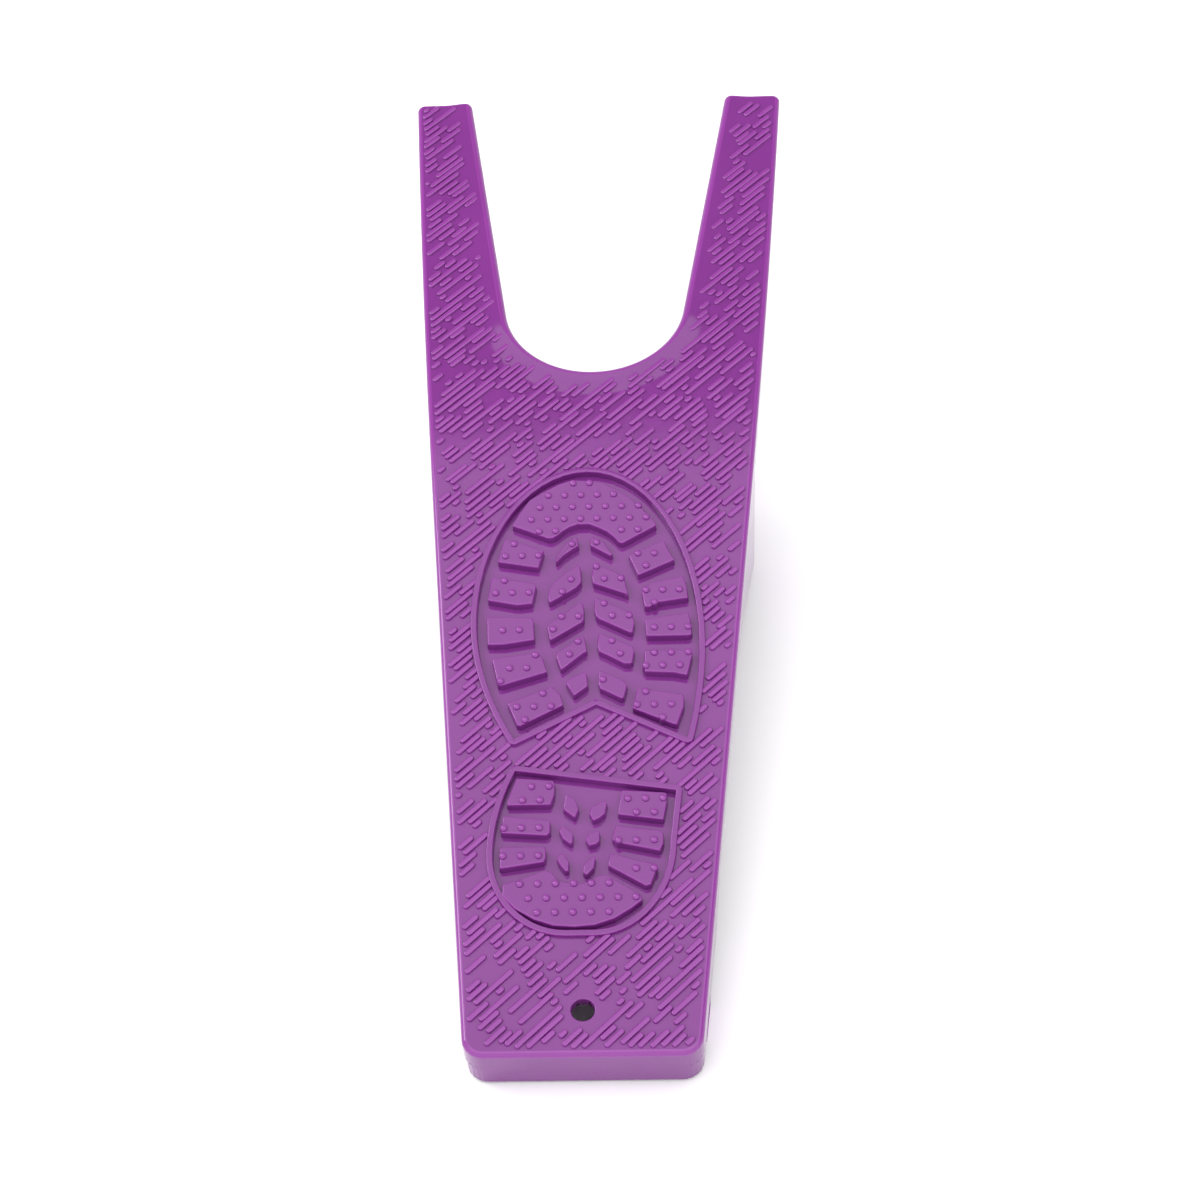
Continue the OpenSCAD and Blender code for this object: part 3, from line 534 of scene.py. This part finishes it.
def rim(skin, line):
    """The raised rim round a print, with rounded upper edges."""
    half = RIM_W / 2
    turned = rounded(line, 0.9, 4)
    profile = [(-half - 0.2, -0.15), (-half - 0.04, 0.1), (-half, RIM_H - 0.34), (-half + 0.1, RIM_H - 0.1),
               (-half + 0.3, RIM_H), (half - 0.3, RIM_H), (half - 0.1, RIM_H - 0.1),
               (half, RIM_H - 0.34), (half + 0.06, -PRINT_DEPTH + 0.1), (half + 0.2, -PRINT_DEPTH - 0.1)]
    first, n = len(skin.faces), len(turned)
    skin.stack([[(*p, z) for p in inset(turned, d)] for d, z in profile], cap=False)
    # The rim's rounded upper edges take the lighter material, a painted highlight
    for bevel in (2, 5):
        skin.paint_highlight_from(first + bevel * n, first + (bevel + 2) * n)


def studded(q, shapes, bare):
    """Says whether a place of the stud pattern lies on a lug and isn't left bare."""
    if any((q - Vector(b)).length < STUD_R for b in bare):
        return False
    return any(inside(q, p) and edge_gap(q, p) >= STUD_MARGIN for p in shapes)


def prints(material, edges):
    """The two sole prints: rims, lugs and studs."""
    skin = Skin()
    for line in print_rims():
        rim(skin, line)
    for lugs, plain, first, rows, y, bare, added in (
            (FRONT_LUGS, FRONT_PLAIN, FRONT_STUD_FROM, range(-20, 1), 0, FRONT_BARE, FRONT_ADDED),
            (HEEL_LUGS, HEEL_PLAIN, HEEL_STUD_FROM, range(0, 12), HEEL_Y, HEEL_BARE, HEEL_ADDED)):
        for outline in lugs + plain:
            lug(skin, outline, y)
        shapes = [as_vectors(p) for p in lugs]
        for j in rows:
            for i in range(-7, 7):
                q = Vector((first[0] + STUD_PITCH * (i - (0.5 if j % 2 else 0)), first[1] + STUD_ROW * j))
                if studded(q, shapes, bare):
                    stud(skin, q.x, q.y + y)
        for q in added:
            stud(skin, q[0], q[1] + y)
    return skin.make("sole_prints", material, edges)


def dash(skin, a, b):
    """One raised dash with round ends."""
    way = b - a
    base = math.atan2(way.y, way.x) if way.length > 1e-6 else math.radians(DASH_ANGLE)
    profile = [(0.54 * DASH_W, -0.06), (0.49 * DASH_W, 0.12 * DASH_H), (0.46 * DASH_W, 0.55 * DASH_H),
               (0.41 * DASH_W, 0.8 * DASH_H), (0.32 * DASH_W, 0.93 * DASH_H), (0.17 * DASH_W, DASH_H)]
    rows = []
    for r, z in profile:
        row = []
        for end, turn in ((b, -math.pi / 2), (a, math.pi / 2)):
            for k in range(6):
                t = base + turn + math.pi * k / 5
                row.append((end.x + r * math.cos(t), end.y + r * math.sin(t), z))
        rows.append(row)
    skin.stack(rows)
    # The dash's rounded top takes the lighter material, a painted highlight
    skin.paint_highlight_from(len(skin.faces) - 1 - 3 * len(rows[0]))


def dash_room():
    """A test that says whether a dash may cover a point of the board."""
    line, _ = board_outline()
    rims = print_rims()
    hole = Vector((0, HOLE_Y))

    def free(q, lip):
        if not inside(q, line) or edge_gap(q, line) < DASH_MARGIN or mouth_gap(q.x, q.y) < lip:
            return False
        if (q - hole).length < HOLE_CLEAR:
            return False
        return not any(inside(q, r) or edge_gap(q, r) < RIM_W / 2 for r in rims)
    return free


def dash_length(rng):
    """Length of a dash between the centres of its round ends."""
    kind = rng.random()
    for share, low, high in DASH_KINDS:
        if kind < share:
            return rng.uniform(low, high)


def dashes(material, edges):
    """Slanting dashes in lanes over the whole top face."""
    rng = random.Random(DASH_SEED)
    skin = Skin()
    free = dash_room()
    along = Vector((math.cos(math.radians(DASH_ANGLE)), math.sin(math.radians(DASH_ANGLE))))
    across = left_of(along)
    centre = Vector((0, (FORK_LEN - TAIL_LEN) / 2))
    # Lanes reach past the board's corners, and only points in a box a little larger than it are tested
    reach, box_x, box_y = 260, 70, 185
    lanes = int(reach / DASH_LANE)
    step = 0.5
    for lane in range(-lanes, lanes + 1):
        at = -reach + rng.uniform(0, 12)
        while at < reach:
            length = dash_length(rng)
            shift = across * (lane * DASH_LANE + rng.uniform(-0.3, 0.3))
            lip = rng.uniform(*DASH_LIP)
            start = at
            free_length = SHORT_FREE if rng.random() < SHORT_SHARE else LONG_FREE
            at += length + DASH_W + rng.uniform(*free_length)
            run = []
            count = max(1, round(length / step))
            for k in range(count + 1):
                q = centre + shift + along * (start + length * k / count)
                if abs(q.x) < box_x and abs(q.y - centre.y) < box_y and free(q, lip):
                    run.append(q)
                elif run:
                    break
            if run and ((run[-1] - run[0]).length > 1.5 or length < 1.8):
                dash(skin, run[0], run[-1])
    return skin.make("dash_texture", material, edges)


def node_tree(material):
    material.use_nodes = True
    tree = material.node_tree
    return tree, tree.nodes["Principled BSDF"]


def speckle(tree, scale):
    """Noise in the object's own coordinates."""
    place = tree.nodes.new("ShaderNodeTexCoord")
    noise = tree.nodes.new("ShaderNodeTexNoise")
    noise.inputs["Scale"].default_value = scale
    noise.inputs["Detail"].default_value = 2
    tree.links.new(place.outputs["Object"], noise.inputs["Vector"])
    return noise.outputs["Fac"]


def varied(tree, value, low, high, socket):
    """Drives a socket between two values by a noise value."""
    ramp = tree.nodes.new("ShaderNodeMapRange")
    ramp.inputs["From Min"].default_value = 0.3
    ramp.inputs["From Max"].default_value = 0.7
    ramp.inputs["To Min"].default_value = low
    ramp.inputs["To Max"].default_value = high
    tree.links.new(value, ramp.inputs["Value"])
    tree.links.new(ramp.outputs["Result"], socket)


def tinted(tree, value, dark, light, socket):
    """Drives a colour socket between two colours by a noise value."""
    ramp = tree.nodes.new("ShaderNodeValToRGB")
    ramp.color_ramp.elements[0].position = 0.3
    ramp.color_ramp.elements[1].position = 0.7
    ramp.color_ramp.elements[0].color = (*dark, 1)
    ramp.color_ramp.elements[1].color = (*light, 1)
    tree.links.new(value, ramp.inputs["Fac"])
    tree.links.new(ramp.outputs["Color"], socket)


def bumped(tree, value, depth, socket):
    """Drives a normal socket by a noise value, as relief of a depth in metres."""
    bump = tree.nodes.new("ShaderNodeBump")
    bump.inputs["Distance"].default_value = depth
    bump.inputs["Strength"].default_value = 0.35
    tree.links.new(value, bump.inputs["Height"])
    tree.links.new(bump.outputs["Normal"], socket)


def violet_plastic(name, dark, light):
    """Glossy moulded plastic with a faint flow mottle between two close colours."""
    material = bpy.data.materials.new(name)
    tree, shader = node_tree(material)
    tinted(tree, speckle(tree, 60), dark, light, shader.inputs["Base Color"])
    varied(tree, speckle(tree, 300), 0.06, 0.1, shader.inputs["Roughness"])
    bumped(tree, speckle(tree, 250), 0.00001, shader.inputs["Normal"])
    shader.inputs["IOR"].default_value = 1.5
    return material


def violet_rubber():
    material = bpy.data.materials.new("violet_rubber")
    tree, shader = node_tree(material)
    tinted(tree, speckle(tree, 250), (0.2, 0.045, 0.225), (0.235, 0.055, 0.262), shader.inputs["Base Color"])
    varied(tree, speckle(tree, 900), 0.6, 0.75, shader.inputs["Roughness"])
    bumped(tree, speckle(tree, 1500), 0.00008, shader.inputs["Normal"])
    return material


def zinc_steel():
    material = bpy.data.materials.new("zinc_steel")
    tree, shader = node_tree(material)
    tinted(tree, speckle(tree, 500), (0.5, 0.51, 0.53), (0.62, 0.63, 0.65), shader.inputs["Base Color"])
    varied(tree, speckle(tree, 1200), 0.28, 0.42, shader.inputs["Roughness"])
    shader.inputs["Metallic"].default_value = 1.0
    return material


def pale_floor():
    """A plain matt floor in a pale tone."""
    material = bpy.data.materials.new("pale_floor")
    tree, shader = node_tree(material)
    tinted(tree, speckle(tree, 3), (0.94, 0.94, 0.945), (0.955, 0.955, 0.96), shader.inputs["Base Color"])
    shader.inputs["Roughness"].default_value = 0.7
    mesh = bpy.data.meshes.new("floor")
    reach = 6
    mesh.from_pydata([(x * reach, y * reach, 0) for x, y in ((-1, -1), (1, -1), (1, 1), (-1, 1))], [],
                     [(0, 1, 2, 3)])
    floor = bpy.data.objects.new("floor", mesh)
    bpy.context.scene.collection.objects.link(floor)
    mesh.materials.append(material)


def camera():
    data = bpy.data.cameras.new("camera")
    data.lens = CAMERA_LENS
    data.sensor_width = CAMERA_SENSOR
    data.clip_start = 0.02
    obj = bpy.data.objects.new("camera", data)
    obj.location = CAMERA_AT
    obj.rotation_euler = Euler([math.radians(a) for a in CAMERA_TURN])
    bpy.context.scene.collection.objects.link(obj)
    bpy.context.scene.camera = obj


def softbox(name, at, aim, size, brightness):
    """A white area light; its power grows with its size, so that its brightness stays."""
    data = bpy.data.lights.new(name, "AREA")
    data.shape = "RECTANGLE"
    data.size, data.size_y = size
    data.energy = brightness * math.pi * size[0] * size[1]
    obj = bpy.data.objects.new(name, data)
    obj.location = at
    obj.rotation_euler = (Vector(aim) - Vector(at)).to_track_quat("-Z", "Y").to_euler()
    bpy.context.scene.collection.objects.link(obj)


def stepped(tree, value, start, end, low, high):
    """A smooth step of a value between two places, from low to high."""
    ramp = tree.nodes.new("ShaderNodeMapRange")
    ramp.interpolation_type = "SMOOTHSTEP"
    ramp.inputs["From Min"].default_value = start
    ramp.inputs["From Max"].default_value = end
    ramp.inputs["To Min"].default_value = low
    ramp.inputs["To Max"].default_value = high
    tree.links.new(value, ramp.inputs["Value"])
    return ramp.outputs["Result"]


def studio():
    """White surroundings, a dim ceiling, and two softboxes, one with an edge that shows in the plate."""
    world = bpy.data.worlds.new("studio")
    world.use_nodes = True
    tree = world.node_tree
    place = tree.nodes.new("ShaderNodeTexCoord")
    split = tree.nodes.new("ShaderNodeSeparateXYZ")
    tree.links.new(place.outputs["Generated"], split.inputs["Vector"])
    ahead = stepped(tree, split.outputs["Y"], -0.1, 0.2, 0, 1)
    above = stepped(tree, split.outputs["Z"], 0.35, 0.6, 0, 1)
    both = tree.nodes.new("ShaderNodeMath")
    both.operation = "MULTIPLY"
    tree.links.new(ahead, both.inputs[0])
    tree.links.new(above, both.inputs[1])
    level = stepped(tree, both.outputs["Value"], 0, 1, SIDES, CEILING)
    around = stepped(tree, split.outputs["Y"], -0.35, 0.1, BEHIND, SIDES)
    tree.links.new(around, level.node.inputs["To Min"])
    tree.links.new(level, tree.nodes["Background"].inputs["Strength"])
    tree.nodes["Background"].inputs["Color"].default_value = (1, 1, 1, 1)
    bpy.context.scene.world = world
    edge = mirrored_at(GLOSS_EDGE_Y, BOX_HEIGHT)
    middle = edge.y - BOX_SIZE[1] / 2
    softbox("overhead", (0, middle, BOX_HEIGHT), (0, middle, 0), BOX_SIZE, BOX_LIGHT)
    softbox("key", KEY_AT, (0, 0, 0.04), KEY_SIZE, KEY_LIGHT)
    bpy.context.scene.view_settings.view_transform = "Standard"


def mirrored_at(y, height):
    """Where the camera's ray that meets the plate's middle at y goes, at a height above the floor."""
    at = row_point(0, y, 0)
    normal = Vector((0, -sin_tilt, cos_tilt))
    way = (at - Vector(CAMERA_AT)).normalized()
    way = way.reflect(normal)
    return at + way * (height - at.z) / way.z


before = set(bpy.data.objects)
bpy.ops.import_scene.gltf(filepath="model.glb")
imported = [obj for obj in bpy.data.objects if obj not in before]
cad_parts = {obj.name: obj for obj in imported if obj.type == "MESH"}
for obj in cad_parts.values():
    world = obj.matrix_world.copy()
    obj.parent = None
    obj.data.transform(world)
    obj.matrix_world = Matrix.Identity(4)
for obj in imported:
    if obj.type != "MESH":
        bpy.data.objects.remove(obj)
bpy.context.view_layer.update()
camera()
studio()
pale_floor()
violet = violet_plastic("violet_plastic", *VIOLET)
# A lighter copy of the plastic: painted highlight on raised edges and tops
violet_painted_highlight = violet_plastic("violet_painted_highlight", *VIOLET_PAINTED_HIGHLIGHT)
rubber = violet_rubber()
steel = zinc_steel()

shell = board_shell(violet, violet_painted_highlight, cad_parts["tread_board"])
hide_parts("tread_board")
for piece in (shell, prints(violet, violet_painted_highlight), dashes(violet, violet_painted_highlight)):
    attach(piece, "root")

finishes = {"base_frame": (violet, "moulding"), "support_leg": (violet, "moulding"),
            "leg_pad_left": (rubber, "pads"), "leg_pad_right": (rubber, "pads"),
            "tail_pad_left": (rubber, "pads"), "tail_pad_right": (rubber, "pads"),
            "frame_screws": (steel, "screws"), "leg_screws": (steel, "screws")}
for name, (material, slot) in finishes.items():
    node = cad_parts[name]
    node.data.materials.clear()
    node.data.materials.append(material)
